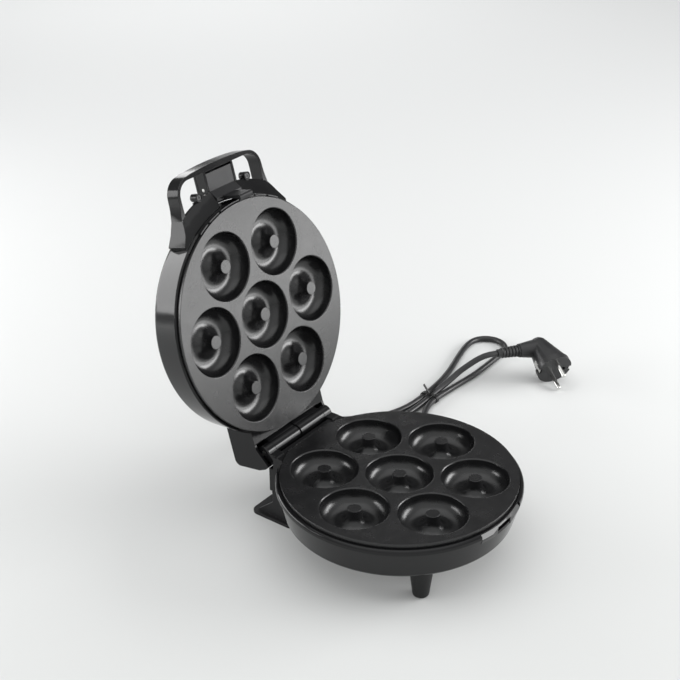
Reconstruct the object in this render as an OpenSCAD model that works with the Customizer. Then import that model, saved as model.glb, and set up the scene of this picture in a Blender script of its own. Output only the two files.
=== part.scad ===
// Donut maker: a round, hinged, seven-cavity contact grill for ring doughnuts.
// The housing is drawn around the centre of the parting plane and then lifted onto its feet.
// Lid pieces are drawn closed and swung open to the rest pose by opened().

/* [Cooking plates] */
// Radius of one ring cavity at the plate's face
cavity_r = 29.6; // [27:0.1:32]
// Radius of the peg in the middle of a cavity
peg_r = 6; // [5:0.1:7]
// Depth of a cavity
cavity_depth = 15; // [14:0.1:17]
// Flat between two neighbouring cavities
land = 6.4; // [5.5:0.1:9]
// Flat between the outer cavities and the plate's edge
rim_land = 8.8; // [8:0.1:14]
// Chamfer around the mouth of a cavity
mouth_chamfer = 0.8; // [0.4:0.1:1.2]
// Wall of the cups behind the cavities
cup_wall = 2.2; // [1.8:0.1:2.4]
// Thickness of the cast plates
plate_t = 2.6; // [2:0.1:3.5]
// Height of the skirt around a plate
skirt_h = 5; // [4.5:0.1:6]
// Thickness of that skirt
skirt_t = 2.5; // [2:0.1:3]
// Gap between the plates when the lid is shut
plate_gap = 0.5; // [0.4:0.1:1]

/* [Housing] */
// Wall of the moulded housings
wall = 2.5; // [2:0.1:3]
// How far the base's widest edge stands outside the plate
base_rim = 4; // [3.4:0.1:8]
// How far the base narrows towards its rounded bottom edge
base_taper = 6.5; // [4:0.1:9]
// Space under the base's reflector
base_room = 8.2; // [7:0.1:14]
// How far the lid's rim stands outside the plate
lid_rim = 2.3; // [2:0.1:6]
// How far the lid narrows towards its rounded top edge
lid_taper = 3.8; // [2:0.1:8]
// Space over the lid's reflector
lid_room = 7.7; // [7:0.1:14]
// Rise of the lid's top towards its middle
lid_crown = 2; // [0:0.5:5]
// Height that the plates stand proud of the housings
plate_proud = 4; // [3:0.5:5]
// Radius of the rounded outer edges
edge_round = 6; // [4:0.5:8]
// Height of the base's underside above the table
foot_h = 33; // [28:0.5:42]

/* [Hinge] */
// Distance from the plates' edge back to the hinge axis
hinge_gap = 11.3; // [11:0.1:13]
// Distance of the hinge axis below the parting plane
hinge_drop = 0.7; // [0:0.1:1.5]
// Radius of the hinge barrel
barrel_r = 7; // [6:0.1:7.5]
// Half the width of the hood over the hinge
hood_half = 49.5; // [44:0.5:56]
// Width of an ear at each end of the barrel
ear_w = 9.7; // [7:0.1:16]
// Radius of the steel hinge pin
pin_r = 2.5; // [2:0.1:3.5]
// Angle to which the lid leans back when it stands open
lid_open = 105; // [90:1:105]

/* [Handle and latch] */
// Half the width of the opening in the handle loop
grip_half = 51; // [46:0.5:56]
// Distance from the lid's rim to the inside of the handle's bar
grip_gap = 30.2; // [27:0.1:36]
// Thickness of the handle's band
band_t = 3; // [2.5:0.1:4]
// Depth of the handle's band
band_depth = 13; // [11:0.5:15]
// Height of the handle's lower edge above the parting plane
grip_z = 14; // [12:0.5:16]
// Radius of the round corners inside the loop
grip_corner = 13; // [8:0.5:16]
// Width of the shelf between the lid and the loop's opening
shelf_w = 13.7; // [12:0.1:16]
// Thickness of that shelf
shelf_t = 2.5; // [2:0.1:3]
// Half the width of the latch lever
latch_half = 16; // [12:0.5:18]
// Half the width of the latch's hook
hook_half = 8; // [5:0.5:10]
// Radius of the latch's pivot pin
latch_pin_r = 1.5; // [1:0.1:2]

/* [Feet and stand] */
// Distance of each front foot inward from the base's rounded bottom edge
foot_inset = 20.5; // [17:0.5:30]
// Angle of each front foot from straight ahead
foot_angle = 41.6; // [30:0.2:55]
// Radius of a front foot where it meets the base
foot_top_r = 10.8; // [9:0.1:12]
// Radius of a front foot at the table
foot_tip_r = 7.3; // [5:0.1:8.5]
// Half the width of the rear stand
stand_half = 47; // [42:0.5:52]
// Depth of the rear stand's sole from front to back
stand_depth = 45; // [38:0.5:55]
// Thickness of the rear stand's sole
sole_t = 3; // [2.5:0.1:4]

/* [Heating] */
// Radius of the tubular heating element's tube
tube_r = 3.25; // [3:0.05:3.5]
// Thickness of the reflector pans
pan_t = 0.8; // [0.6:0.1:1.2]
// Radius of the indicator lenses
lens_r = 4; // [3:0.1:5]

/* [Cord] */
// Diameter of the mains cord
cord_d = 6.4; // [6:0.1:7]
// Length of the strain relief outside the base
gland_l = 30; // [24:0.5:36]

/* [Hidden] */

black = [0.06, 0.06, 0.065];
dark = [0.13, 0.13, 0.135];
grey = [0.36, 0.36, 0.36];
steel = [0.72, 0.72, 0.7];
tin = [0.6, 0.6, 0.58];

fine = 96;                        // sides used for large rounds
small = 32;                       // sides used for small rounds
fit = 0.3;                        // clearance between seated pieces
run = 0.05;                       // radial clearance of a pin in its bore
slip = 0.1;                       // radial clearance of a screw in its hole
over = 1;                         // how far a cut runs past a face

cavity_pitch = 2 * cavity_r + land;           // from the middle cavity to the ring of six
plate_r = cavity_pitch + cavity_r + rim_land; // radius of both cast plates
channel_r = (cavity_r - peg_r) / 2;           // half the width of the ring channel
channel_mid = (cavity_r + peg_r) / 2;         // middle of the ring channel
channel_z = cavity_depth - channel_r;         // depth at which the channel's round bottom starts
cup_h = cavity_depth + cup_wall;              // how far the cups reach behind the plate's face
cavities = concat([[0, 0]], [for (k = [0:5]) cavity_pitch * [cos(60 * k), sin(60 * k)]]);

heater_z = cup_h + tube_r + fit;              // middle of the heating tube behind the plate's face
heater_gap = 28;                              // angle left open between the ends of the tube
cold_r = tube_r + 0.6;                        // radius of the tube's upright cold ends
cold_l = 6;                                   // how far the cold ends reach past the tube's middle
stud_l = 9;                                   // how far the studs in them reach past it
pan_z = heater_z + tube_r + 1;                // front face of a reflector pan
pan_r = plate_r - 24;                         // radius of a reflector pan
pan_lip = 5;                                  // height of a pan's turned rim

base_r = plate_r + base_rim;                  // the base at its widest
base_foot_r = base_r - base_taper;            // the base above its rounded bottom edge
base_h = pan_z + pan_t + base_room + wall;    // from the parting plane to the base's underside
lid_r = plate_r + lid_rim;                    // the lid at its rim
lid_top_r = lid_r - lid_taper;                // the lid below its rounded top edge
lid_h = plate_gap + pan_z + pan_t + lid_room + wall;
table_drop = base_h + foot_h;                 // height of the parting plane above the table

recess_r = plate_r + 0.6;                     // hole in a housing that a plate drops into
lip_z = plate_proud;                          // distance of a housing's lip from the parting plane
ledge_z = skirt_h + fit;                      // ledge under a plate's skirt
hinge_y = plate_r + hinge_gap;
axis = [0, hinge_y, -hinge_drop];
chord_y = hinge_y - barrel_r - 3.9;           // rear face of the base behind its plate
plate_flat_y = chord_y - 4.4;                 // flat at the back of the base's plate
block_y = chord_y + 4.6;                      // rear face of the base below the hinge
block_drop = barrel_r + hinge_drop + 5.3;     // how far the hood's sweep keeps the base's block down
block_d = 12;                                 // how far that block runs in front of the plate's flat
bulk_y = hinge_y - 8.8;                       // straight rear edge of the lid
hood_top = lid_h - 3.3;                       // top of the hood
hood_root = bulk_y - 26.5;                    // how far forward the hood runs inside the lid
hood_in = hood_half - wall;                   // half the width inside the hood
block_half = hood_in - 1;                     // half the width of the base's rear block
barrel_half = hood_in - 2;                    // half the length of the hinge barrel
ear_in = barrel_half - ear_w;
knuckle_half = ear_in - fit;                  // from the middle to the seam between knuckle and ear

stand_y = block_y - 22;                       // front edge of the rear stand's sole
leg_half = stand_half - 4;                    // half the width of the rear stand's leg
stand_screw_x = stand_half - 15;              // screws that hold the rear stand
stand_screw_y = block_y - 11;
stand_grip = 6;                               // thickness of the stand above the screws' heads
foot_pitch = base_foot_r - foot_inset;        // from the centre to each front foot
spigot_r = 4;                                 // radius of a front foot's spigot

post_r = plate_r - 12;                        // circle of the posts that carry each plate
post_w = 4.5;                                 // radius of those posts
post_l = 3;                                   // how far they reach behind the ledge
post_angles = [30, 150, 210, 330];
clamp_r = cavity_pitch / sqrt(3);             // circle of the posts that carry each reflector
clamp_w = 3.8;                                // radius of those posts
clamp_angles = [90, 210, 330];
screw_r = 2;                                  // radius of the plate screws
head_r = 3.6;                                 // radius of their heads
head_t = 2.4;                                 // thickness of their heads
sink = 8;                                     // depth of the screw wells in the base's underside

gland_x = 30;                                 // where the cord leaves the base
gland_z = -base_h + 9.5;
gland_r = 4.5;                                // radius of the strain relief in the wall
frame_low = plate_gap + ledge_z + post_l + fit; // underside of the ring inside the lid
frame_top = frame_low + wall;
lid_post_r = plate_r - 10;                    // circle of the lid's own posts
lid_post_angles = [42, 138, 222, 318];
lens_x = 9;                                   // indicator lights on top of the lid
lens_y = -lid_top_r + 24.5;
lens_well = 8;                                // depth of the collars that hold the lenses

grip_reach = lid_r + grip_gap;                // from the centre to the inside of the handle's bar
shelf_r = lid_r + shelf_w;
boss_x = 31.6;                                // screw bosses on the shelf
boss_y = shelf_r - 1.5;
boss_r = 3.75;
small_screw_r = 1.4;                          // radius of the handle's screws
root = 8.3;                                   // how far the handle's pieces run in before the lid's cut
bay = latch_half + fit;                       // half the width of the latch lever's bay
cheek_t = 2.5;                                // thickness of the cheeks beside the lever
latch_y = -(shelf_r + 1);                     // latch pivot ahead of the centre
latch_z = grip_z + 5;                         // latch pivot above the parting plane
hook_z = -12;                                 // lowest point of the hook when the lid is shut
hook_face = -(max(base_r, lid_r) + 1.8);      // inner face of the hook's shank
window_z = [hook_z + 0.8, hook_z + 5.1];      // the window in the base's front that the hook enters
bar_out = grip_reach + band_t + 0.5;          // outside of the handle's bar at its ends
bar_bow = 2;                                  // how far the bar bows forward in the middle

back_reach = hinge_y + (bar_out + bar_bow + hinge_y) * -cos(lid_open)
  + (grip_z + band_depth + hinge_drop) * sin(lid_open);
middle_y = (back_reach - base_r) / 2;         // middle of the open grill from front to back

// Points of an arc around (x, y) from angle a to angle b.
function arc(x, y, r, a, b, n = 8) =
  [for (k = [0:n]) let(at = a + (b - a) * k / n) [x + r * cos(at), y + r * sin(at)]];

// How far forward a circle of radius r round the centre lies at x.
function rim_y(x, r) = -sqrt(r * r - x * x);

// Lifts what is drawn around the parting plane onto the table, in the middle of the part's own box.
module placed() {
  translate([0, -middle_y, table_drop]) children();
}

// Swings what is drawn with the lid shut to where it stands when the lid is open.
module opened() {
  placed() translate(axis) rotate([-lid_open, 0, 0]) translate(-axis) children();
}

// Draws a flat outline of (y, z) points as a bar along X, centred.
module across(half) {
  translate([-half, 0, 0]) rotate([90, 0, 90]) linear_extrude(2 * half) children();
}

// Flips what is drawn below the parting plane to the lid's side of it.
module lid_side() {
  translate([0, 0, plate_gap]) mirror([0, 0, 1]) children();
}

module at_polar(radius, angles) {
  for (a = angles) rotate(a) translate([radius, 0, 0]) children();
}

module both_sides() {
  children();
  mirror([1, 0, 0]) children();
}

// ---- Cooking plates ----------------------------------------------------------------------------

// Hollow of one ring cavity, face at z = 0.
module cavity_hollow() {
  rotate_extrude($fn = small * 2) difference() {
    union() {
      translate([channel_mid, -channel_z]) circle(r = channel_r, $fn = small * 2);
      translate([peg_r, -channel_z]) square([2 * channel_r, channel_z + over]);
      polygon([[cavity_r - over, -mouth_chamfer - over], [cavity_r, -mouth_chamfer],
        [cavity_r + mouth_chamfer + over, over], [cavity_r - over, over]]);
    }
    translate([-over, -cup_h - over]) square([over + 0.01, cup_h + 3 * over]);
  }
}

// Back of one cavity: a round-bottomed cup, open in the middle behind the peg.
module cup() {
  rotate_extrude($fn = small * 2) difference() {
    union() {
      translate([channel_mid, -channel_z]) circle(r = channel_r + cup_wall, $fn = small * 2);
      translate([0, -channel_z]) square([cavity_r + cup_wall, channel_z]);
    }
    translate([-cavity_r, -cup_h - over]) square([cavity_r, cup_h + 2 * over]);
    translate([-over, 0]) square([cavity_r + 2 * cup_wall, cup_h]);
  }
}

// One cast plate, face at z = 0, cups downwards.
module cast_plate(flat_y) {
  difference() {
    union() {
      intersection() {
        difference() {
          translate([0, 0, -skirt_h]) cylinder(h = skirt_h, r = plate_r, $fn = fine);
          translate([0, 0, -skirt_h - over])
            cylinder(h = skirt_h + over - plate_t, r = plate_r - skirt_t, $fn = fine);
        }
        translate([-plate_r - over, -plate_r - over, -skirt_h - over])
          cube([2 * (plate_r + over), plate_r + over + flat_y, skirt_h + 2 * over]);
      }
      for (c = cavities) translate(c) cup();
      at_polar(post_r, post_angles) translate([0, 0, -ledge_z - post_l])
        cylinder(h = ledge_z + post_l - over, r = post_w, $fn = small);
      at_polar(clamp_r, clamp_angles) translate([0, 0, -pan_z + fit])
        cylinder(h = pan_z - fit - over, r = clamp_w, $fn = small);
    }
    for (c = cavities) translate(c) cavity_hollow();
    at_polar(post_r, post_angles) translate([0, 0, -ledge_z - post_l - over])
      cylinder(h = post_l + 4, r = screw_r + slip, $fn = small);
    at_polar(clamp_r, clamp_angles) translate([0, 0, -pan_z - over])
      cylinder(h = 9, r = screw_r + slip, $fn = small);
  }
}

module base_plate() {
  color(grey) placed() cast_plate(plate_flat_y);
}

module lid_plate() {
  color(grey) opened() lid_side() cast_plate(plate_r + over);
}

// ---- Heating -----------------------------------------------------------------------------------

// Ring of heating tube with two upright cold ends, below a plate.
module heating_tube() {
  turn = 270 + heater_gap / 2;
  translate([0, 0, -heater_z]) rotate(turn) rotate_extrude(angle = 360 - heater_gap, $fn = fine)
    translate([cavity_pitch, 0]) circle(r = tube_r, $fn = small);
  for (a = [turn, turn - heater_gap]) rotate(a) translate([cavity_pitch, 0, -heater_z]) {
    translate([0, 0, -cold_l]) cylinder(h = cold_l + 2, r = cold_r, $fn = small);
    translate([0, 0, -stud_l]) cylinder(h = stud_l - cold_l + over, r = tube_r / 2, $fn = small);
  }
}

module base_heater() {
  color(tin) placed() heating_tube();
}

module lid_heater() {
  color(tin) opened() lid_side() heating_tube();
}

// Pressed pan behind the heating tube, on the plate's clamp posts, with its rim turned towards the plate.
module pan() {
  difference() {
    union() {
      translate([0, 0, -pan_z - pan_t]) cylinder(h = pan_t, r = pan_r, $fn = fine);
      difference() {
        translate([0, 0, -pan_z - pan_t]) cylinder(h = pan_lip, r = pan_r, $fn = fine);
        translate([0, 0, -pan_z - pan_t - over])
          cylinder(h = pan_lip + 2 * over, r = pan_r - pan_t, $fn = fine);
      }
    }
    at_polar(clamp_r, clamp_angles) translate([0, 0, -pan_z - pan_t - over])
      cylinder(h = pan_t + 2 * over, r = screw_r + slip, $fn = small);
    at_polar(cavity_pitch, [270 + heater_gap / 2, 270 - heater_gap / 2])
      translate([0, 0, -pan_z - pan_t - over])
      cylinder(h = pan_t + 2 * over, r = cold_r + fit, $fn = small);
  }
}

// Screw pointing up, its head's underside at z = 0.
module screw(length, head = head_r) {
  cylinder(h = length, r = screw_r, $fn = small);
  difference() {
    translate([0, 0, -head_t]) cylinder(h = head_t, r = head, $fn = small);
    for (a = [0, 90]) rotate(a) translate([-head * 0.6, -0.5, -head_t - over])
      cube([head * 1.2, 1, over + head_t / 2]);
  }
}

module pan_screws() {
  at_polar(clamp_r, clamp_angles) translate([0, 0, -pan_z - pan_t]) screw(8);
}

module base_reflector() {
  color(steel) placed() pan();
}

module lid_reflector() {
  color(steel) opened() lid_side() pan();
}

module base_screws() {
  color(steel) placed() {
    at_polar(post_r, post_angles) translate([0, 0, -base_h + sink]) screw(base_h - sink - ledge_z + 2);
    pan_screws();
  }
}

module lid_screws() {
  color(steel) opened() {
    lid_side() {
      at_polar(post_r, post_angles) translate([0, 0, -ledge_z - post_l - fit - wall]) screw(wall + 5);
      pan_screws();
    }
    at_polar(lid_post_r, lid_post_angles) translate([0, 0, frame_low]) screw(wall + 7);
  }
}

// ---- Base housing ------------------------------------------------------------------------------

// Outline of half a round housing, from its lip at lip_z down to height h, set in by t.
function bowl(widest, foot, h, t, top) = concat(
  [[0, -top], [widest - 2 - t, -top]],
  arc(widest - 2.6 - t, -top - 2.6, 2.6, 80, 0, 5),
  [[widest - t, -top - 4.5]],
  arc(foot - edge_round, -h + edge_round, edge_round - t, -8, -90, 7),
  [[0, -h + t]]);

// Scoop in the front of the base's lip, where fingers reach the latch.
module finger_scoop() {
  intersection() {
    rotate_extrude($fn = fine) polygon([[recess_r + 1.2, -lip_z + over], [base_r - 1.4, -14],
      [base_r + 4, -14], [base_r + 4, -lip_z + over]]);
    translate([-30, -base_r - 10, -20]) cube([60, base_r, 40]);
  }
}

module ear_shape() {
  translate([hinge_y, -hinge_drop]) circle(r = barrel_r, $fn = small * 2);
  translate([plate_flat_y, -barrel_r - hinge_drop]) square([hinge_y - plate_flat_y, barrel_r + 1.7]);
}

module base_shell() {
  room = block_half - wall;
  color(black) placed() difference() {
    union() {
      difference() {
        union() {
          difference() {
            rotate_extrude($fn = fine) polygon(bowl(base_r, base_foot_r, base_h, 0, lip_z));
            translate([-base_r, chord_y, -base_h - over]) cube([2 * base_r, base_r, base_h + 2 * over]);
          }
          translate([-block_half, plate_flat_y - block_d, -base_h])
            cube([2 * block_half, chord_y - plate_flat_y + block_d, base_h]);
          translate([-block_half, plate_flat_y - block_d, -base_h])
            cube([2 * block_half, block_y - plate_flat_y + block_d, base_h - block_drop]);
        }
        intersection() {
          rotate_extrude($fn = fine) polygon(bowl(base_r, base_foot_r, base_h, wall, ledge_z + wall));
          translate([-base_r, -base_r, -base_h - over])
            cube([2 * base_r, base_r + chord_y - wall, base_h + 2 * over]);
        }
        translate([-room, plate_flat_y - block_d + wall, -base_h + wall])
          cube([2 * room, chord_y - plate_flat_y + block_d - 2 * wall, base_h - ledge_z - 2 * wall]);
        translate([-room, plate_flat_y - over, -base_h + wall])
          cube([2 * room, block_y - wall - plate_flat_y + over, base_h - block_drop - 2 * wall]);
      }
      both_sides() translate([(ear_in + barrel_half) / 2, 0, 0]) across((barrel_half - ear_in) / 2)
        ear_shape();
      at_polar(post_r, post_angles) translate([0, 0, -base_h + over])
        cylinder(h = base_h - over - ledge_z - post_l - fit, r = post_w + 1.5, $fn = small);
      // Thickens the wall behind the finger scoop.
      intersection() {
        translate([0, 0, -14.5]) difference() {
          cylinder(h = 14.5 - ledge_z, r = base_r - 2, $fn = fine);
          translate([0, 0, -over]) cylinder(h = 20, r = base_r - 5.2, $fn = fine);
        }
        translate([-32, -base_r, -20]) cube([64, base_r - 60, 30]);
      }
    }
    // The plate drops in here.
    intersection() {
      translate([0, 0, -ledge_z]) cylinder(h = ledge_z + 3, r = recess_r, $fn = fine);
      translate([-base_r, -base_r, -ledge_z - over])
        cube([2 * base_r, base_r + plate_flat_y + fit, ledge_z + 5]);
    }
    translate([0, 0, -ledge_z - wall - over])
      cylinder(h = wall + 2 * over, r = recess_r - skirt_t - 2, $fn = fine);
    translate(axis) rotate([0, 90, 0]) translate([0, 0, -barrel_half - over])
      cylinder(h = 2 * (barrel_half + over), r = pin_r + run, $fn = small * 2);
    at_polar(post_r, post_angles) {
      translate([0, 0, -base_h - over]) cylinder(h = base_h, r = screw_r + slip, $fn = small);
      translate([0, 0, -base_h - over]) cylinder(h = sink + over + slip, r = head_r + slip, $fn = small);
    }
    for (s = [-1, 1]) rotate(270 + s * foot_angle) translate([foot_pitch, 0, -base_h - over])
      cylinder(h = wall + 2 * over, r = spigot_r + slip, $fn = small);
    for (s = [-1, 1]) translate([s * stand_screw_x, stand_screw_y, -base_h - over])
      cylinder(h = wall + 2 * over, r = screw_r + slip, $fn = small);
    translate([gland_x, block_y + over, gland_z]) rotate([90, 0, 0])
      cylinder(h = wall + 2 * over, r = gland_r + slip, $fn = small);
    finger_scoop();
    // Window that the latch's hook swings into.
    translate([-hook_half - 1, -base_r - over, window_z[0]])
      cube([2 * (hook_half + 1), 9, window_z[1] - window_z[0]]);
    // Vents in the floor.
    for (x = [-2:2]) translate([x * 9 - 1.5, -16, -base_h - over]) cube([3, 32, wall + 2 * over]);
  }
}

// ---- Feet and stand ----------------------------------------------------------------------------

// Tapered front foot with a spigot that snaps into the base's floor.
module foot(side) {
  rotate(270 + side * foot_angle) translate([foot_pitch, 0, 0]) rotate_extrude($fn = small * 2)
    polygon(concat(
      [[0, -base_h + wall], [spigot_r, -base_h + wall], [spigot_r, -base_h - fit],
        [foot_top_r, -base_h - fit], [foot_top_r, -base_h - 2]],
      arc(foot_tip_r - 3, -table_drop + 3, 3, 0, -90, 5),
      [[0, -table_drop]]));
}

module front_foot_left() {
  color(black) placed() foot(-1);
}

module front_foot_right() {
  color(black) placed() foot(1);
}

// Outline of the rear stand's sole, with round corners.
module sole_outline() {
  c = 6;
  polygon(concat(
    arc(stand_half - c, stand_y + stand_depth - c, c, 0, 90, 4),
    arc(-stand_half + c, stand_y + stand_depth - c, c, 90, 180, 4),
    arc(-stand_half + 2, stand_y + 2, 2, 180, 270, 3),
    arc(stand_half - 2, stand_y + 2, 2, 270, 360, 3)));
}

module rear_stand() {
  top = -base_h - fit;
  leg_h = table_drop - base_h - fit;
  leg_y = stand_y + 4;
  leg_d = block_y - leg_y;
  color(black) placed() difference() {
    union() {
      translate([0, 0, -table_drop]) linear_extrude(sole_t) sole_outline();
      difference() {
        translate([-leg_half, leg_y, -table_drop]) cube([2 * leg_half, leg_d, leg_h]);
        translate([-leg_half + wall, leg_y + wall, -table_drop + sole_t])
          cube([2 * (leg_half - wall), leg_d - 2 * wall, leg_h - sole_t - wall]);
      }
      for (x = [-stand_screw_x, stand_screw_x]) translate([x, stand_screw_y, -table_drop])
        cylinder(h = leg_h, r = 5.5, $fn = small);
      for (x = [-leg_half + 1.5, 0, leg_half - 1.5]) translate([x, block_y - over, -table_drop]) across(1.5)
        polygon([[0, 0], [18, 0], [18, sole_t + 1], [over, leg_h * 0.55], [0, leg_h * 0.55]]);
    }
    for (x = [-stand_screw_x, stand_screw_x]) translate([x, stand_screw_y, 0]) {
      translate([0, 0, -table_drop - over]) cylinder(h = leg_h + 2 * over, r = screw_r + slip, $fn = small);
      translate([0, 0, -table_drop - over])
        cylinder(h = leg_h - stand_grip + over, r = head_r + slip, $fn = small);
    }
  }
}

module stand_screws() {
  color(steel) placed() for (x = [-stand_screw_x, stand_screw_x])
    translate([x, stand_screw_y, -base_h - fit - stand_grip - slip]) {
      screw(stand_grip + wall + 4);
      translate([0, 0, stand_grip + wall + fit + 2 * slip]) cylinder(h = head_t, r = head_r, $fn = 6);
    }
}

// ---- Hinge, cord entry and wiring --------------------------------------------------------------

module hinge_pin() {
  color(steel) placed() translate(axis) rotate([0, 90, 0])
    translate([0, 0, -barrel_half + 0.5]) cylinder(h = 2 * barrel_half - 1, r = pin_r, $fn = small * 2);
}

// Disc thermostat on a strap under the base's reflector.
module thermostat() {
  color(steel) placed() translate([0, clamp_r + 16, -pan_z - pan_t - fit]) {
    translate([0, 0, -4.6]) cylinder(h = 4.6, r = 8, $fn = small);
    for (x = [-4, 4]) translate([x - 1.5, -2.5, -6.2]) cube([3, 0.8, 3]);
  }
}

module thermal_fuse() {
  color(tin) placed() translate([-22, clamp_r + 10, -pan_z - pan_t - 2.3]) rotate([0, 90, 0]) {
    translate([0, 0, -6]) cylinder(h = 12, r = 2, $fn = small);
    translate([0, 0, -13]) cylinder(h = 26, r = 0.6, $fn = 24);
  }
}

module terminal_block() {
  color([0.85, 0.83, 0.78]) placed() difference() {
    translate([gland_x - 38, block_y - wall - 9, -base_h + wall + fit]) cube([20, 8, 9]);
    for (k = [-1, 1]) translate([gland_x - 28 + 5 * k, block_y - wall - 5, -base_h + wall + 4])
      cylinder(h = 8, r = 1.8, $fn = 24);
  }
}

// Tapered, ribbed strain relief that grips the cord where it leaves the base.
module cord_gland() {
  rib = (gland_l - 5) / 5;
  color(black) placed() translate([gland_x, block_y, gland_z]) rotate([-90, 0, 0]) {
    rotate_extrude($fn = small) polygon(concat(
      [[0, -wall - 2.2], [gland_r + 2, -wall - 2.2], [gland_r + 2, -wall - slip], [gland_r, -wall - slip],
        [gland_r, fit], [gland_r + 1.6, fit], [gland_r + 1.6, 3]],
      [for (k = [0:4]) let(x = gland_r - k * 0.25, y = 4 + k * rib) each
        [[x + 0.6, y], [x + 0.6, y + rib * 0.6], [x - 0.6, y + rib * 0.6], [x - 0.6, y + rib]]],
      [[cord_d / 2 + 0.5, gland_l], [0, gland_l]]));
  }
}

// ---- Lid ---------------------------------------------------------------------------------------

// Outline of half the lid's dome in (radius, height above the parting plane), set in by t.
function dome(t, low) = concat(
  [[0, low], [lid_r - 1.5 - t, low]],
  arc(lid_r - 1.5 - t, low + 1.5, 1.5, -90, 0, 3),
  arc(lid_top_r - edge_round, lid_h - edge_round, edge_round - t, 8, 80, 7),
  [for (k = [1:5]) [(lid_top_r - edge_round) * (1 - k / 5),
    lid_h - t + lid_crown * (1 - pow(1 - k / 5, 2))]]);

// Side outline of the hood over the hinge, closed: (y, z) from the lid's rim round to the top.
function hood_outline() = concat(
  [[hood_root - 20, lip_z], [bulk_y, lip_z], [hinge_y - 4.3, lip_z - 1], [hinge_y + 10.3, -hinge_drop - 5.3],
    [hinge_y + 13.8, -hinge_drop - 1.6], [hinge_y + 15.4, -hinge_drop + 6.2]],
  arc(hinge_y + 7.2, hood_top - 6, 6, 5, 85, 5),
  [[hinge_y - 17, hood_top], [hood_root - 20, hood_top]]);

// Room inside the hood for the hinge, open below.
function hood_room() = [[bulk_y, -20], [bulk_y, hood_top - wall], [hinge_y + 6, hood_top - wall],
  [hinge_y + 10.4, hood_top - 7], [hinge_y + 12.8, -hinge_drop + 6.4], [hinge_y + 9.3, -hinge_drop - 4.2],
  [hinge_y + 9.8, -20]];

// Arm that ties one knuckle to the lid.
module knuckle_shape() {
  translate([hinge_y, -hinge_drop]) circle(r = barrel_r, $fn = small * 2);
  polygon([[hinge_y - 9.5, lip_z], [hinge_y - 9.5, 17], [hinge_y - 3, 17], [hinge_y + 5.8, 3.2],
    [hinge_y, -hinge_drop], [hinge_y - 5, -hinge_drop - 4.9]]);
}

// Thin lip at the front of the lid, with two small notches on each side of the latch.
module front_lip() {
  intersection() {
    translate([0, 0, 1.2]) difference() {
      cylinder(h = lip_z, r = lid_r - 0.3, $fn = fine);
      translate([0, 0, -over]) cylinder(h = lip_z + 2 * over, r = recess_r + 0.2, $fn = fine);
      for (x = [-39, -23, 23, 39]) rotate(270 + asin(x / lid_r)) translate([lid_r - 5, 0, 0])
        rotate([0, 90, 0]) linear_extrude(10) polygon([[over, -1.9], [over, 1.9], [-2.2, 0]]);
    }
    translate([-grip_half, -lid_r - over, 0]) cube([2 * grip_half, 60, 10]);
  }
}

// Flange in front of the lid that the handle's shelf is screwed to.
module handle_flange() {
  low = grip_z + shelf_t + fit;
  difference() {
    union() {
      intersection() {
        translate([0, 0, low]) difference() {
          cylinder(h = wall, r = shelf_r - fit, $fn = fine);
          translate([0, 0, -over]) cylinder(h = wall + 2 * over, r = lid_r - wall, $fn = fine);
        }
        translate([-boss_x - 3, -shelf_r, 0]) cube([2 * (boss_x + 3), 40, 40]);
      }
      both_sides() translate([boss_x, -boss_y, low]) cylinder(h = wall + 1, r = boss_r - 0.2, $fn = small);
    }
    translate([-bay - cheek_t - fit, -shelf_r - over, 0]) cube([2 * (bay + cheek_t + fit), 30, 40]);
    both_sides() translate([boss_x, -boss_y, low - over])
      cylinder(h = wall + 3 * over, r = small_screw_r + slip, $fn = small);
  }
}

module lid_shell() {
  color(black) opened() difference() {
    union() {
      difference() {
        union() {
          rotate_extrude($fn = fine) polygon(dome(0, lip_z));
          difference() {
            across(hood_half) polygon(hood_outline());
            translate([0, 0, lip_z - 20]) cylinder(h = 70, r = lid_r - 4, $fn = fine);
          }
        }
        intersection() {
          rotate_extrude($fn = fine) polygon(dome(wall, -over));
          translate([-lid_r, -lid_r, -2 * over]) cube([2 * lid_r, lid_r + bulk_y - wall, 60]);
        }
        translate([-hood_in, hood_root, lip_z + wall])
          cube([2 * hood_in, bulk_y - wall - hood_root, hood_top - lip_z - 2 * wall]);
        across(hood_in) polygon(hood_room());
      }
      both_sides() translate([(knuckle_half + 1) / 2, 0, 0]) across((knuckle_half - 1) / 2) knuckle_shape();
      at_polar(lid_post_r, lid_post_angles) translate([0, 0, frame_top + fit])
        cylinder(h = lid_h - frame_top - fit - 1, r = post_w, $fn = small);
      for (s = [-1, 1]) translate([s * lens_x, lens_y, lid_h - lens_well])
        cylinder(h = lens_well - 0.5, r = lens_r + 2, $fn = small);
      front_lip();
      handle_flange();
    }
    // The plate drops in here.
    translate([0, 0, -over]) cylinder(h = ledge_z + plate_gap + over, r = recess_r, $fn = fine);
    translate(axis) rotate([0, 90, 0]) translate([0, 0, -barrel_half])
      cylinder(h = 2 * barrel_half, r = pin_r + run, $fn = small * 2);
    for (s = [-1, 1]) translate([s * lens_x, lens_y, lid_h - lens_well - over])
      cylinder(h = 2 * lens_well, r = lens_r + slip, $fn = small);
    at_polar(lid_post_r, lid_post_angles) translate([0, 0, frame_top - over])
      cylinder(h = 9, r = screw_r + slip, $fn = small);
  }
}

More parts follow.
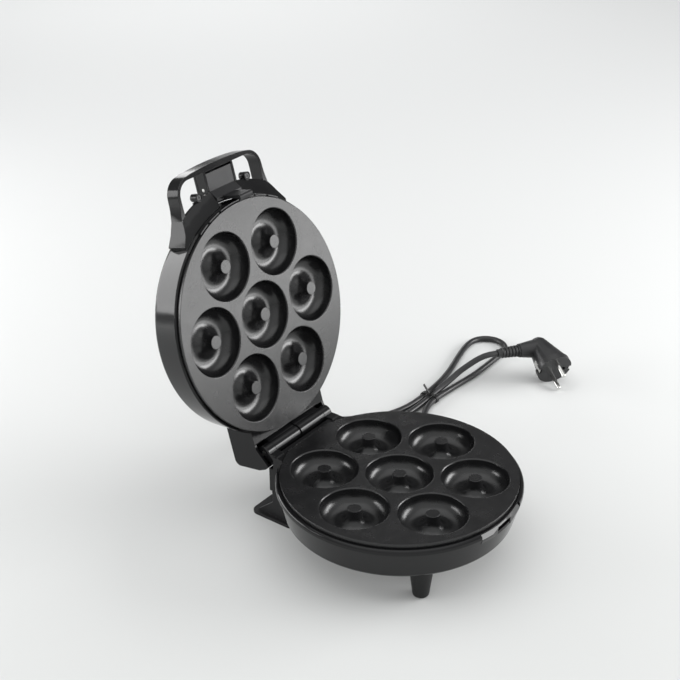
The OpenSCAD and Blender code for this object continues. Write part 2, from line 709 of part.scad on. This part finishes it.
// Ring inside the lid that carries the plate, scalloped round its cups.
module lid_frame() {
  color(steel) opened() translate([0, 0, frame_low]) difference() {
    cylinder(h = wall, r = lid_r - wall - 1.8, $fn = fine);
    translate([0, 0, -over]) cylinder(h = wall + 2 * over, r = post_r - post_w - 1.5, $fn = fine);
    at_polar(cavity_pitch, [0:60:300]) translate([0, 0, -over])
      cylinder(h = wall + 2 * over, r = cavity_r + cup_wall + 1, $fn = fine);
    at_polar(post_r, post_angles) translate([0, 0, -over])
      cylinder(h = wall + 2 * over, r = screw_r + slip, $fn = small);
    at_polar(lid_post_r, lid_post_angles) translate([0, 0, -over])
      cylinder(h = wall + 2 * over, r = screw_r + slip, $fn = small);
  }
}

// ---- Handle and latch --------------------------------------------------------------------------

// Half outlines of the handle loop seen from above, towards +X: outside and window.
function loop_outer() = concat(
  [[0, -bar_out - bar_bow], [13, -bar_out - bar_bow * 0.88], [26, -bar_out - bar_bow * 0.5],
    [34, -bar_out - 0.4]],
  arc(grip_half - grip_corner, -grip_reach + grip_corner, grip_corner + band_t, -80, 0, 8),
  [[grip_half + 3.5, -grip_reach + 21.5], [grip_half + 5.5, rim_y(grip_half + 5.5, lid_r + 12.9)],
    [grip_half + 10, rim_y(grip_half + 10, lid_r + 6.6)], [grip_half + 16, rim_y(grip_half + 16, lid_r + 2.7)],
    [grip_half + 12, rim_y(grip_half + 12, lid_r - 4.5)], [0, rim_y(grip_half + 12, lid_r - 4.5)]]);
function loop_window() = concat(
  [[0, -grip_reach]],
  arc(grip_half - grip_corner, -grip_reach + grip_corner, grip_corner, -90, 0, 8),
  [[grip_half, rim_y(grip_half, lid_r + 6)], [grip_half + 2, rim_y(grip_half + 2, lid_r - 0.1)],
    [grip_half + 2, rim_y(grip_half + 2, lid_r - 7)], [0, rim_y(grip_half + 2, lid_r - 7)]]);

module both_halves() {
  children();
  mirror([1, 0]) children();
}

module handle_screw_places() {
  both_sides() translate([boss_x, -boss_y, grip_z]) children();
}

module lid_handle() {
  run_in = grip_reach + 1 - lid_r + root;
  color(black) opened() difference() {
    union() {
      // The band of the loop and its wings towards the lid.
      translate([0, 0, grip_z]) linear_extrude(band_depth) difference() {
        both_halves() polygon(loop_outer());
        both_halves() polygon(loop_window());
      }
      // The sloping shelf between the window and the lid.
      intersection() {
        rotate_extrude($fn = fine) polygon([[lid_r - 3, lip_z + 1.5], [lid_r - 0.8, lip_z + 1.5],
          [lid_r + 5, lip_z + 4], [lid_r + 10, lip_z + 7.2], [shelf_r, grip_z], [shelf_r, grip_z + shelf_t],
          [lid_r - 4, grip_z + shelf_t]]);
        translate([0, 0, -over]) linear_extrude(30) both_halves() polygon(loop_outer());
        translate([-70, -shelf_r - over, -over]) cube([140, 45, 40]);
      }
      handle_screw_places() translate([0, 0, -1.2]) cylinder(h = shelf_t + 1.2, r = boss_r, $fn = small);
      // Cheeks and roof round the latch lever.
      both_sides() translate([bay, -grip_reach - 1, grip_z]) cube([cheek_t, run_in, band_depth - 3]);
      translate([-bay - cheek_t, -grip_reach - 1, grip_z + band_depth - 2.5])
        cube([2 * (bay + cheek_t), run_in, 2.5]);
    }
    rotate_extrude($fn = fine) polygon(dome(-fit, lip_z));
    translate([-bay, -grip_reach, -over]) cube([2 * bay, run_in + 6, grip_z + band_depth - 2.5 + over]);
    handle_screw_places() {
      translate([0, 0, -2]) cylinder(h = 2, r = small_screw_r + 1.2, $fn = small);
      translate([0, 0, -over]) cylinder(h = 10, r = small_screw_r + slip, $fn = small);
    }
    translate([-40, latch_y, latch_z]) rotate([0, 90, 0])
      cylinder(h = 80, r = latch_pin_r + run, $fn = small);
  }
}

module handle_screws() {
  color(steel) opened() handle_screw_places() difference() {
    union() {
      cylinder(h = shelf_t + fit + wall + 1.5, r = small_screw_r, $fn = small);
      translate([0, 0, -1]) cylinder(h = 1, r = small_screw_r + 0.9, $fn = small);
    }
    for (a = [0, 90]) rotate(a) translate([-1.4, -0.3, -2]) cube([2.8, 0.6, 1.6]);
  }
}

// Lever that hangs in the handle on its pin, with the hook that swings under the base's lip.
module latch_lever() {
  back = hook_face - 3;
  color(dark) opened() difference() {
    union() {
      across(latch_half) polygon([[-grip_reach + 2, grip_z + 0.3], [latch_y + 2, grip_z + 0.3],
        [back, lip_z + 4], [hook_face, lip_z + 4], [hook_face, lip_z + 8], [latch_y + 7, latch_z - 2],
        [latch_y + 5, latch_z + 3], [-grip_reach + 2, latch_z + 3]]);
      across(hook_half) polygon([[back, lip_z + 5], [back, hook_z + 1.2], [back + 1.2, hook_z],
        [hook_face, hook_z], [hook_face + 2.5, hook_z + 1.5], [hook_face + 2.5, hook_z + 2.2],
        [hook_face, hook_z + 2.8], [hook_face, lip_z + 5]]);
    }
    translate([-40, latch_y, latch_z]) rotate([0, 90, 0])
      cylinder(h = 80, r = latch_pin_r + run, $fn = small);
  }
}

module latch_pin() {
  half = bay + cheek_t;
  color(steel) opened() translate([-half, latch_y, latch_z]) rotate([0, 90, 0])
    cylinder(h = 2 * half, r = latch_pin_r, $fn = small);
}

// ---- Indicator lights --------------------------------------------------------------------------

// Round lens cap pressed into the lid's top.
module lens(side) {
  translate([side * lens_x, lens_y, lid_h - 3.5]) rotate_extrude($fn = small)
    polygon(concat([[0, 0], [lens_r, 0]], arc(lens_r - 1.2, 4.4, 1.2, 0, 90, 4), [[0, 5.8]]));
}

module power_lens() {
  color([0.75, 0.08, 0.05]) opened() lens(-1);
}

module ready_lens() {
  color([0.1, 0.55, 0.15]) opened() lens(1);
}

// Strip with the two lamps behind the lenses, on the lid's reflector.
module lamp_holder() {
  foot_z = plate_gap + pan_z + pan_t;
  color([0.75, 0.7, 0.6]) opened() {
    translate([-lens_x - 6, lens_y - 4.5, foot_z + 0.1]) cube([2 * lens_x + 12, 9, 1.4]);
    for (s = [-1, 1]) translate([s * lens_x, lens_y, foot_z + 1])
      cylinder(h = lid_h - 4 - foot_z - 1, r = 2.6, $fn = small);
  }
}

// ---- Mains cord --------------------------------------------------------------------------------

// Route of the cord over the table, from the strain relief to the plug.
CORD = [[gland_x, block_y + gland_l + fit - middle_y, table_drop + gland_z], [31, 100, 41.8], [35, 115, 36],
  [44, 131, 24], [57, 143, 12.5], [74, 148.5, 5.4], [94, 143, 3.2], [113, 126, 3.2], [149, 86.5, 3.2],
  [180, 70.8, 3.7], [216, 67.8, 4.2], [264, 73.5, 3.2], [310, 86, 3.2], [330, 91, 3.2], [345, 92.5, 3.2],
  [355.25, 89.75, 3.2], [362.75, 82.25, 3.2], [365.5, 72, 3.2], [362.75, 61.75, 3.2], [355.25, 54.25, 3.2],
  [345, 51.5, 3.2], [318, 50.5, 3.2], [284, 50.5, 3.2], [250, 53.3, 3.4], [216, 54.6, 4.2],
  [196, 51.5, 4.2], [176, 42.5, 3.6], [157, 31.5, 3.2], [138, 25.5, 3.2], [127.75, 28.25, 3.2], [120.25, 35.75, 3.2],
  [117.5, 46, 3.2], [120.25, 56.25, 3.2], [127.75, 63.75, 3.2], [138, 66.5, 3.2], [160, 63.8, 3.2],
  [188, 61, 3.8], [216, 61.2, 4.2], [229, 60.6, 6.2], [239, 58.8, 9], [249, 56, 13], [259, 52.5, 18.3],
  [268, 46.7, 24.3], [277, 40.2, 29.9], [285.6, 34.1, 32.4], [293.67, 28.83, 32.22]];
cord_last = len(CORD) - 1;
cord_sides = 10;

// Point on the smooth curve through a, b, c and d, halfway between b and c.
function halfway(a, b, c, d) = (9 * (b + c) - a - d) / 16;
function route(i) = CORD[max(0, min(cord_last, i))];
function bends(i) = i < 8 || (i > 12 && i < 21) || (i > 25 && i < 35) || i > 38;
cord_line = concat([for (i = [0:cord_last - 1]) each bends(i)
  ? [route(i), halfway(route(i - 1), route(i), route(i + 1), route(i + 2))]
  : [route(i)]], [route(cord_last)]);

function unit(v) = v / norm(v);

// One ring of points round the cord at place i of its line.
function cord_ring(i) = let(
  last = len(cord_line) - 1,
  ahead = unit(cord_line[min(last, i + 1)] - cord_line[max(0, i - 1)]),
  side = unit(cross(ahead, [0, 0, 1])),
  up = cross(side, ahead))
  [for (k = [0:cord_sides - 1]) cord_line[i]
    + cord_d / 2 * (cos(360 * k / cord_sides) * side + sin(360 * k / cord_sides) * up)];

module cord() {
  n = cord_sides;
  last = len(cord_line) - 1;
  color(black) polyhedron(
    points = [for (i = [0:last]) each cord_ring(i)],
    faces = concat(
      [[for (k = [0:n - 1]) k]],
      [for (i = [0:last - 1], k = [0:n - 1])
        [i * n + k, (i + 1) * n + k, (i + 1) * n + (k + 1) % n, i * n + (k + 1) % n]],
      [[for (k = [n - 1:-1:0]) last * n + k]]));
}

tie_at = [216, 61.2, 4.2];

// Twist tie round the three strands of the folded cord.
module cord_tie() {
  half = cord_d + 0.2;
  r = cord_d / 2 + 0.5;
  band = 0.4;
  color(dark) translate(tie_at) rotate([90, 0, 90]) translate([0, 0, -2]) {
    linear_extrude(4) difference() {
      union() {
        translate([-half, -r - band]) square([2 * half, 2 * (r + band)]);
        for (s = [-1, 1]) translate([s * half, 0]) circle(r = r + band, $fn = small);
      }
      translate([-half, -r]) square([2 * half, 2 * r]);
      for (s = [-1, 1]) translate([s * half, 0]) circle(r = r, $fn = small);
    }
    for (s = [-1, 1]) translate([0, r + 0.1, 2]) rotate(90 + s * 40) translate([0, -0.5, -1])
      cube([12, 1, 2]);
  }
}

// ---- Plug --------------------------------------------------------------------------------------

plug_at = [315.1, 14.9, 30.7];     // end of the plug's body on the cord's side
plug_turn = -33;                   // heading of the cord's axis
plug_dip = 3.4;                    // how far that axis dips
plug_tip = 20;                     // how far the pins point down
plug_face = 32.2;                  // from the cord's axis to the face with the pins
plug_r = 19;                       // radius of the face
plug_mid = 28.5;                   // from the end of the body to the middle of the face
pin_pitch = 19;
plug_pin_r = 2.4;
plug_pin_l = 19;
relief_l = 25.3;

module plugged() {
  translate(plug_at) rotate([0, plug_dip, plug_turn]) rotate([plug_tip, 0, 0]) children();
}

module plug_body() {
  color(black) plugged() difference() {
    union() {
      hull() {
        rotate([0, 90, 0]) cylinder(h = 4, r = 7.2, $fn = small);
        translate([plug_mid - 6, 0, 0]) sphere(r = 10.5, $fn = small);
      }
      hull() {
        translate([plug_mid - 4, 1, 0]) sphere(r = 11, $fn = small);
        translate([plug_mid, -plug_face + 9, 0]) rotate([90, 0, 0])
          cylinder(h = 4, r = plug_r - 1.5, $fn = small);
      }
      translate([plug_mid, -plug_face + 6, 0]) rotate([90, 0, 0])
        cylinder(h = 6, r = plug_r, $fn = small * 2);
    }
    for (s = [-1, 1]) translate([plug_mid + s * (plug_r - 1.2) - 2.5, -plug_face - over, -3])
      cube([5, 16, 6]);
    translate([plug_mid + 10, -plug_face - over, 0]) rotate([-90, 0, 0])
      cylinder(h = 12, r = 2.5, $fn = small);
  }
}

module plug_pins() {
  color(steel) plugged() for (s = [-1, 1]) translate([plug_mid, -plug_face, s * pin_pitch / 2])
    rotate([90, 0, 0])
    rotate_extrude($fn = small) polygon(concat([[0, 0], [plug_pin_r, 0]],
      arc(plug_pin_r - 1.5, plug_pin_l - 1.5, 1.5, 0, 90, 4), [[0, plug_pin_l]]));
}

// Sprung earth contacts in the slots at both sides of the plug.
module plug_earth_clips() {
  color(steel) plugged() for (s = [-1, 1])
    translate([plug_mid + s * (plug_r - 1.9), -plug_face + 0.5, -2.6]) rotate([90, 0, 90])
    translate([0, 0, -0.5]) linear_extrude(1) square([13.5, 5.2]);
}

// Ribbed, tapered relief between the cord and the plug.
module plug_relief() {
  rib = (relief_l - 7.3) / 5;
  color(black) plugged() rotate([0, -90, 0]) rotate_extrude($fn = small) polygon(concat(
    [[0, 0], [6.4, 0], [6.4, 2]],
    [for (k = [0:4]) let(x = 5.2 - k * 0.15, y = 2.2 + k * rib) each
      [[x, y], [x, y + rib * 0.4], [x + 1, y + rib * 0.45], [x + 1, y + rib * 0.94]]],
    [[4.6, relief_l - 4.9], [4.2, relief_l], [0, relief_l]]));
}

base_shell();
base_plate();
base_heater();
base_reflector();
base_screws();
front_foot_left();
front_foot_right();
rear_stand();
stand_screws();
hinge_pin();
thermostat();
thermal_fuse();
terminal_block();
cord_gland();
cord();
cord_tie();
plug_relief();
plug_body();
plug_pins();
plug_earth_clips();
lid_shell();
lid_plate();
lid_heater();
lid_reflector();
lid_frame();
lid_screws();
lid_handle();
handle_screws();
power_lens();
ready_lens();
lamp_holder();
latch_lever();
latch_pin();
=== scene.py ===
import math

import bmesh
import bpy
from mathutils import Matrix, Vector


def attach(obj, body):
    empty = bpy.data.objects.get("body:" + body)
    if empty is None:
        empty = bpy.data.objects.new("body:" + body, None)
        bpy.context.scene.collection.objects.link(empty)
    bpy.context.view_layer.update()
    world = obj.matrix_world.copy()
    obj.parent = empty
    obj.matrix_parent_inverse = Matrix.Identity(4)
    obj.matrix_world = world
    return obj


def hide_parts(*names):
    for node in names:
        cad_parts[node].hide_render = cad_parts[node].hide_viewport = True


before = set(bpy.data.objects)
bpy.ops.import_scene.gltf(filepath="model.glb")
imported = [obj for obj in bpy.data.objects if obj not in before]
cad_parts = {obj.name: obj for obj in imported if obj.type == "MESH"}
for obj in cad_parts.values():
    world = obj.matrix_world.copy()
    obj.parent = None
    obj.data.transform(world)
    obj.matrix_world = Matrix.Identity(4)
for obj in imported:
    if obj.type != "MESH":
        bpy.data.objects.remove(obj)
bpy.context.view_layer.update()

scene = bpy.context.scene
scene.view_settings.view_transform = "Standard"

# ---- Sizes shared with the CAD, in millimetres --------------------------------------------------
MM = 0.001
MIDDLE_Y, TABLE = 50.33, 69.5


def row(x, y, z):
    """Base piece's point, measured from the middle of the parting plane, to the shared frame."""
    return Vector((x, y - MIDDLE_Y, z + TABLE)) * MM


# ---- Camera, solved from the photograph ----------------------------------------------------------
CAMERA_PLACE = (-0.84717, -0.63162, 0.75167)
AZIMUTH, ELEVATION, ROLL = -52.72, 28.22, -0.45
camera = bpy.data.objects.new("camera", bpy.data.cameras.new("camera"))
scene.collection.objects.link(camera)
camera.data.lens = 74.83
camera.data.sensor_width = 36
az, el, roll = (math.radians(a) for a in (AZIMUTH, ELEVATION, ROLL))
right = Vector((math.cos(az), math.sin(az), 0))
back = Vector((math.sin(az) * math.cos(el), -math.cos(az) * math.cos(el), math.sin(el)))
up = back.cross(right)
turned = right * math.cos(roll) + up * math.sin(roll)
up = up * math.cos(roll) - right * math.sin(roll)
facing = Matrix((turned, up, back)).transposed().to_4x4()
camera.matrix_world = Matrix.Translation(CAMERA_PLACE) @ facing
scene.camera = camera

# ---- Cord: points on its centre line, in millimetres in the shared frame, from the base to the plug
CORD_RADIUS = 3.15
POINT_STEPS = 4
CORD = [(30, 88.97, 42.5), (31, 100, 41.8), (35, 115, 36), (44, 131, 24), (57, 143, 12.5), (74, 148.5, 5.4),
        (94, 143, 3.2), (113, 126, 3.2), (149, 86.5, 3.2), (180, 70.8, 3.7), (216, 67.8, 4.2), (264, 73.5, 3.2),
        (310, 86, 3.2), (330, 91, 3.2), (345, 92.5, 3.2), (355.25, 89.75, 3.2), (362.75, 82.25, 3.2),
        (365.5, 72, 3.2), (362.75, 61.75, 3.2), (355.25, 54.25, 3.2), (345, 51.5, 3.2), (318, 50.5, 3.2),
        (284, 50.5, 3.2), (250, 53.3, 3.4), (216, 54.6, 4.2), (196, 51.5, 4.2), (176, 42.5, 3.6),
        (157, 31.5, 3.2), (138, 25.5, 3.2), (127.75, 28.25, 3.2), (120.25, 35.75, 3.2), (117.5, 46, 3.2),
        (120.25, 56.25, 3.2), (127.75, 63.75, 3.2), (138, 66.5, 3.2), (160, 63.8, 3.2), (188, 61, 3.8),
        (216, 61.2, 4.2), (229, 60.6, 6.2), (239, 58.8, 9), (249, 56, 13), (259, 52.5, 18.3), (268, 46.7, 24.3),
        (277, 40.2, 29.9), (285.6, 34.1, 32.4), (293.67, 28.83, 32.22)]


def smooth_path(points, steps):
    """Points on the smooth curve through the given ones."""
    pts = [Vector(p) for p in points]
    out = []
    for i in range(len(pts) - 1):
        a, b, c, d = pts[max(i - 1, 0)], pts[i], pts[i + 1], pts[min(i + 2, len(pts) - 1)]
        for k in range(steps):
            t = k / steps
            out.append(0.5 * (2 * b + (c - a) * t + (2 * a - 5 * b + 4 * c - d) * t * t
                              + (3 * b - a - 3 * c + d) * t ** 3))
    return out + [pts[-1]]


cord_path = [p * MM for p in smooth_path(CORD, POINT_STEPS)]
cord_curve = bpy.data.curves.new("mains_cord", "CURVE")
cord_curve.dimensions = "3D"
cord_curve.bevel_depth = CORD_RADIUS  # times each point's radius, which is in metres to the millimetre
cord_curve.bevel_resolution = 5
spline = cord_curve.splines.new("POLY")
spline.points.add(len(cord_path) - 1)
for point, place in zip(spline.points, cord_path):
    point.co = (*place, 1)
    point.radius = MM
cord_curve.use_fill_caps = True
cord = bpy.data.objects.new("mains_cord", cord_curve)
scene.collection.objects.link(cord)
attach(cord, "base")
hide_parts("cord")


# ---- Materials ---------------------------------------------------------------------------------
COAT_ROUGH, RELIEF = 0.1, 0.0004


def material(name, dark, light, rough, scale, bump, bump_scale, metallic=0.0, coat=0.0, specular=0.5, edge=0.0004):
    """Principled surface whose colour, roughness and fine relief vary with noise in object space."""
    mat = bpy.data.materials.new(name)
    mat.use_nodes = True
    nodes, links = mat.node_tree.nodes, mat.node_tree.links
    shader = nodes["Principled BSDF"]
    shader.inputs["Metallic"].default_value = metallic
    shader.inputs["Coat Weight"].default_value = coat
    shader.inputs["Coat Roughness"].default_value = COAT_ROUGH
    shader.inputs["Specular IOR Level"].default_value = specular
    place = nodes.new("ShaderNodeTexCoord")
    broad = nodes.new("ShaderNodeTexNoise")
    broad.inputs["Scale"].default_value = scale
    broad.inputs["Detail"].default_value = 5
    links.new(place.outputs["Object"], broad.inputs["Vector"])
    ramp = nodes.new("ShaderNodeValToRGB")
    ramp.color_ramp.elements[0].position = 0.3
    ramp.color_ramp.elements[0].color = (*dark, 1)
    ramp.color_ramp.elements[1].position = 0.72
    ramp.color_ramp.elements[1].color = (*light, 1)
    links.new(broad.outputs["Fac"], ramp.inputs["Fac"])
    links.new(ramp.outputs["Color"], shader.inputs["Base Color"])
    sheen = nodes.new("ShaderNodeMapRange")
    sheen.inputs["From Min"].default_value = 0.3
    sheen.inputs["From Max"].default_value = 0.7
    sheen.inputs["To Min"].default_value = rough[0]
    sheen.inputs["To Max"].default_value = rough[1]
    links.new(broad.outputs["Fac"], sheen.inputs["Value"])
    links.new(sheen.outputs["Result"], shader.inputs["Roughness"])
    fine = nodes.new("ShaderNodeTexNoise")
    fine.inputs["Scale"].default_value = bump_scale
    fine.inputs["Detail"].default_value = 3
    links.new(place.outputs["Object"], fine.inputs["Vector"])
    relief = nodes.new("ShaderNodeBump")
    relief.inputs["Strength"].default_value = bump
    relief.inputs["Distance"].default_value = RELIEF
    links.new(fine.outputs["Fac"], relief.inputs["Height"])
    if edge:
        rounded = nodes.new("ShaderNodeBevel")
        rounded.samples = 6
        rounded.inputs["Radius"].default_value = edge
        links.new(rounded.outputs["Normal"], relief.inputs["Normal"])
    links.new(relief.outputs["Normal"], shader.inputs["Normal"])
    return mat


gloss_black = material("gloss_black", (0.005, 0.005, 0.0055), (0.009, 0.009, 0.0095), (0.08, 0.14), 12, 0.03, 160,
                       specular=0.3)
scoop_black = material("scoop_black", (0.005, 0.005, 0.0055), (0.009, 0.009, 0.0095), (0.05, 0.08), 12, 0.02, 160,
                       specular=0.8, edge=0)
satin_black = material("satin_black", (0.007, 0.007, 0.0075), (0.012, 0.012, 0.0125), (0.38, 0.5), 60, 0.12, 1400,
                       specular=0.3)
nonstick = material("nonstick", (0.005, 0.005, 0.0055), (0.009, 0.009, 0.0095), (0.22, 0.29), 70, 0.07, 1800,
                    specular=0.6, edge=0.0008)
latch_grey = material("latch_black", (0.014, 0.014, 0.015), (0.022, 0.022, 0.023), (0.34, 0.46), 50, 0.12, 1200,
                      specular=0.25)
steel = material("plain_steel", (0.42, 0.42, 0.41), (0.6, 0.6, 0.58), (0.25, 0.4), 90, 0.05, 700, metallic=1.0)
tin = material("dull_steel", (0.28, 0.27, 0.25), (0.42, 0.41, 0.39), (0.4, 0.55), 60, 0.1, 500, metallic=1.0)
bright = material("bright_pin", (0.6, 0.6, 0.58), (0.75, 0.75, 0.73), (0.12, 0.2), 120, 0.02, 900, metallic=1.0)
pale = material("pale_plastic", (0.6, 0.57, 0.5), (0.7, 0.67, 0.6), (0.45, 0.6), 60, 0.1, 700)
red = material("red_lens", (0.3, 0.01, 0.01), (0.42, 0.02, 0.015), (0.08, 0.16), 80, 0.04, 500, coat=0.5)
green = material("green_lens", (0.01, 0.2, 0.04), (0.02, 0.28, 0.06), (0.08, 0.16), 80, 0.04, 500, coat=0.5)
dark_steel = material("dark_steel", (0.03, 0.03, 0.031), (0.06, 0.06, 0.061), (0.4, 0.5), 90, 0.05, 700)
flex = material("cord_black", (0.010, 0.010, 0.011), (0.018, 0.018, 0.019), (0.3, 0.42), 90, 0.1, 900)

LOOKS = {
    "base_shell": gloss_black, "lid_shell": gloss_black, "lid_handle": gloss_black,
    "base_plate": nonstick, "lid_plate": nonstick, "latch_lever": latch_grey,
    "front_foot_left": satin_black, "front_foot_right": satin_black, "rear_stand": satin_black,
    "base_heater": tin, "lid_heater": tin, "base_reflector": tin, "lid_reflector": tin, "thermal_fuse": tin,
    "base_screws": steel, "stand_screws": steel, "lid_screws": steel, "handle_screws": dark_steel, "hinge_pin": steel,
    "latch_pin": steel, "thermostat": steel, "lid_frame": steel, "terminal_block": pale, "lamp_holder": pale,
    "power_lens": red, "ready_lens": green, "cord_gland": flex, "cord": flex, "cord_tie": satin_black,
    "plug_relief": flex, "plug_body": flex, "plug_pins": bright, "plug_earth_clips": bright}
for name, mat in LOOKS.items():
    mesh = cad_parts[name].data
    mesh.materials.clear()
    mesh.materials.append(mat)
cord.data.materials.append(flex)


# ---- Pieces made here --------------------------------------------------------------------------
CORNER, SMOOTH = 38, 32  # degrees between faces: rounded off above the first, shaded smooth below the second


def piece(name, mesh, body, look, smooth):
    """Object from a bmesh, smooth where its faces meet at less than the given angle."""
    data = bpy.data.meshes.new(name)
    mesh.to_mesh(data)
    mesh.free()
    data.polygons.foreach_set("use_smooth", [True] * len(data.polygons))
    data.set_sharp_from_angle(angle=math.radians(smooth))
    data.materials.append(look)
    made = bpy.data.objects.new(name, data)
    scene.collection.objects.link(made)
    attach(made, body)
    return made


def rounded(node, body, look, slot, width):
    """Moulded copy of a CAD node, with its corners rounded in the mesh, in that node's place."""
    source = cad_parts[node].data
    mesh = bmesh.new()
    points = [mesh.verts.new(v.co) for v in source.vertices]
    for polygon in source.polygons:
        mesh.faces.new([points[i] for i in polygon.vertices])
    bmesh.ops.remove_doubles(mesh, verts=mesh.verts, dist=1e-6)
    bmesh.ops.dissolve_limit(mesh, angle_limit=math.radians(0.5), verts=mesh.verts, edges=mesh.edges)
    sharp = [e for e in mesh.edges if e.is_manifold and e.calc_face_angle() > math.radians(CORNER)]
    bmesh.ops.bevel(mesh, geom=sharp, offset=width, offset_type="OFFSET", segments=2, profile=0.5, affect="EDGES",
                    clamp_overlap=True)
    made = piece(node + "_moulded", mesh, body, look, SMOOTH)
    even = made.modifiers.new("even", "WEIGHTED_NORMAL")
    even.keep_sharp = True
    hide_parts(node)
    return made


rounded("lid_handle", "lid", gloss_black, "black_gloss", 0.5 * MM)
rounded("latch_lever", "latch", latch_grey, "black_matte", 0.6 * MM)
rounded("rear_stand", "base", satin_black, "black_matte", 0.5 * MM)
plug = rounded("plug_body", "base", flex, "cord_black", 0.7 * MM)

# Sloping face of the finger scoop in the base's front, open below the window that the hook enters.
# Its slope ends where it would leave the CAD's box, at FRONT, or the round of the housing.
FRONT, TOP_R, TOP_Z, WINDOW_Z = 106.5, 105.6, -4.3, -6.7
LEAN = math.tan(math.radians(27))


def scoop_outline(x, over_window):
    """Section of the facing at x, as (radius, height) points."""
    most = min(math.hypot(FRONT, x), 106.7 if over_window else 107.9)
    slope = [(TOP_R, TOP_Z), (most, TOP_Z - (most - TOP_R) / LEAN)]
    if over_window:
        return slope + [(most, WINDOW_Z + 0.15), (most - 0.1, WINDOW_Z), (106.2, WINDOW_Z), (105.9, WINDOW_Z),
                        (TOP_R, WINDOW_Z + 0.1)]
    return slope + [(most, -9.3), (min(most, 107.6), -11), (min(most, 106.9), -13.2), (106.3, -13.9), (TOP_R, -8)]


scoop = bmesh.new()
rings = []
for x, over_window in ([(-29.6 + 0.79 * k, False) for k in range(26)] + [(-9.35 + 0.779 * k, True) for k in range(25)]
                       + [(9.85 + 0.79 * k, False) for k in range(26)]):
    rings.append([scoop.verts.new(row(x, -math.sqrt(r * r - x * x), z)) for r, z in scoop_outline(x, over_window)])
for one, two in zip(rings, rings[1:]):
    for i in range(len(one)):
        j = (i + 1) % len(one)
        scoop.faces.new((one[i], one[j], two[j], two[i]))
scoop.faces.new(rings[0])
scoop.faces.new(rings[-1][::-1])
bmesh.ops.recalc_face_normals(scoop, faces=scoop.faces)
piece("scoop_face", scoop, "base", scoop_black, 20)

# ---- Floor and light ---------------------------------------------------------------------------
floor_mesh = bpy.data.meshes.new("floor")
HALF = 9
floor_mesh.from_pydata([(-HALF, -HALF, 0), (HALF, -HALF, 0), (HALF, HALF, 0), (-HALF, HALF, 0)], [], [(0, 1, 2, 3)])
floor = bpy.data.objects.new("floor", floor_mesh)
scene.collection.objects.link(floor)
floor.location.z = -0.0002  # just under the feet, so that no two faces lie in one plane
floor_look = bpy.data.materials.new("floor")
floor_look.use_nodes = True
fn, fl = floor_look.node_tree.nodes, floor_look.node_tree.links
fn["Principled BSDF"].inputs["Roughness"].default_value = 0.9
fn["Principled BSDF"].inputs["Specular IOR Level"].default_value = 0.1
# Painted light falloff: the floor's colour runs from darker on the camera's side to lighter away from it along x + y,
# standing in for the lamps' fall-off across the floor.
spot = fn.new("ShaderNodeNewGeometry")
split = fn.new("ShaderNodeSeparateXYZ")
along = fn.new("ShaderNodeMath")
along.operation = "ADD"
fl.new(spot.outputs["Position"], split.inputs["Vector"])
fl.new(split.outputs["X"], along.inputs[0])
fl.new(split.outputs["Y"], along.inputs[1])
far = fn.new("ShaderNodeMapRange")
far.inputs["From Min"].default_value = -0.5
far.inputs["From Max"].default_value = 3.5
fl.new(along.outputs[0], far.inputs["Value"])
painted_falloff = fn.new("ShaderNodeValToRGB")
painted_falloff.color_ramp.elements[0].color = (0.66, 0.667, 0.66, 1)
painted_falloff.color_ramp.elements[1].color = (0.80, 0.805, 0.805, 1)
middle = painted_falloff.color_ramp.elements.new(0.525)
middle.color = (0.715, 0.72, 0.72, 1)
fl.new(far.outputs["Result"], painted_falloff.inputs["Fac"])
fl.new(painted_falloff.outputs["Color"], fn["Principled BSDF"].inputs["Base Color"])
floor_mesh.materials.append(floor_look)

world = bpy.data.worlds.new("studio")
scene.world = world
world.use_nodes = True
wn, wl = world.node_tree.nodes, world.node_tree.links
wn["Background"].inputs["Strength"].default_value = 1.0
around = wn.new("ShaderNodeTexCoord")
lean = wn.new("ShaderNodeVectorMath")
lean.operation = "DOT_PRODUCT"
lean.inputs[1].default_value = (-0.45, -0.35, 0.82)
wl.new(around.outputs["Generated"], lean.inputs[0])
dome = wn.new("ShaderNodeValToRGB")
dome.color_ramp.elements[0].position = 0.05
dome.color_ramp.elements[0].color = (0.20, 0.20, 0.20, 1)
dome.color_ramp.elements[1].position = 0.85
dome.color_ramp.elements[1].color = (0.95, 0.96, 0.96, 1)
wl.new(lean.outputs["Value"], dome.inputs["Fac"])
wl.new(dome.outputs["Color"], wn["Background"].inputs["Color"])


def softbox(name, place, aim, width, height, power):
    """Rectangular studio lamp at place, facing aim."""
    data = bpy.data.lights.new(name, "AREA")
    data.shape = "RECTANGLE"
    data.size, data.size_y, data.energy = width, height, power
    lamp = bpy.data.objects.new(name, data)
    scene.collection.objects.link(lamp)
    direction = Vector(aim) - Vector(place)
    lamp.matrix_world = Matrix.Translation(place) @ direction.to_track_quat("-Z", "Y").to_matrix().to_4x4()


softbox("right", (1.15, -1.15, 0.66), (0, 0.05, 0.2), 1.2, 0.5, 20)
softbox("low_right", (0.66, -0.82, 0.15), (0, -0.1, 0.12), 1.0, 0.24, 3.4)
softbox("left", (-0.42, 1.15, 0.36), (-0.05, 0.1, 0.2), 0.95, 0.5, 7.5)
softbox("left_front", (-1.2, 0.98, 0.5), (0, 0, 0.1), 0.5, 0.36, 4.5)
softbox("back", (1.45, 1.6, 0.62), (0, 0.1, 0.3), 1.3, 0.3, 4.2)
softbox("top", (0.2, 0.2, 2.1), (0, 0.05, 0.1), 2.6, 2.6, 11)
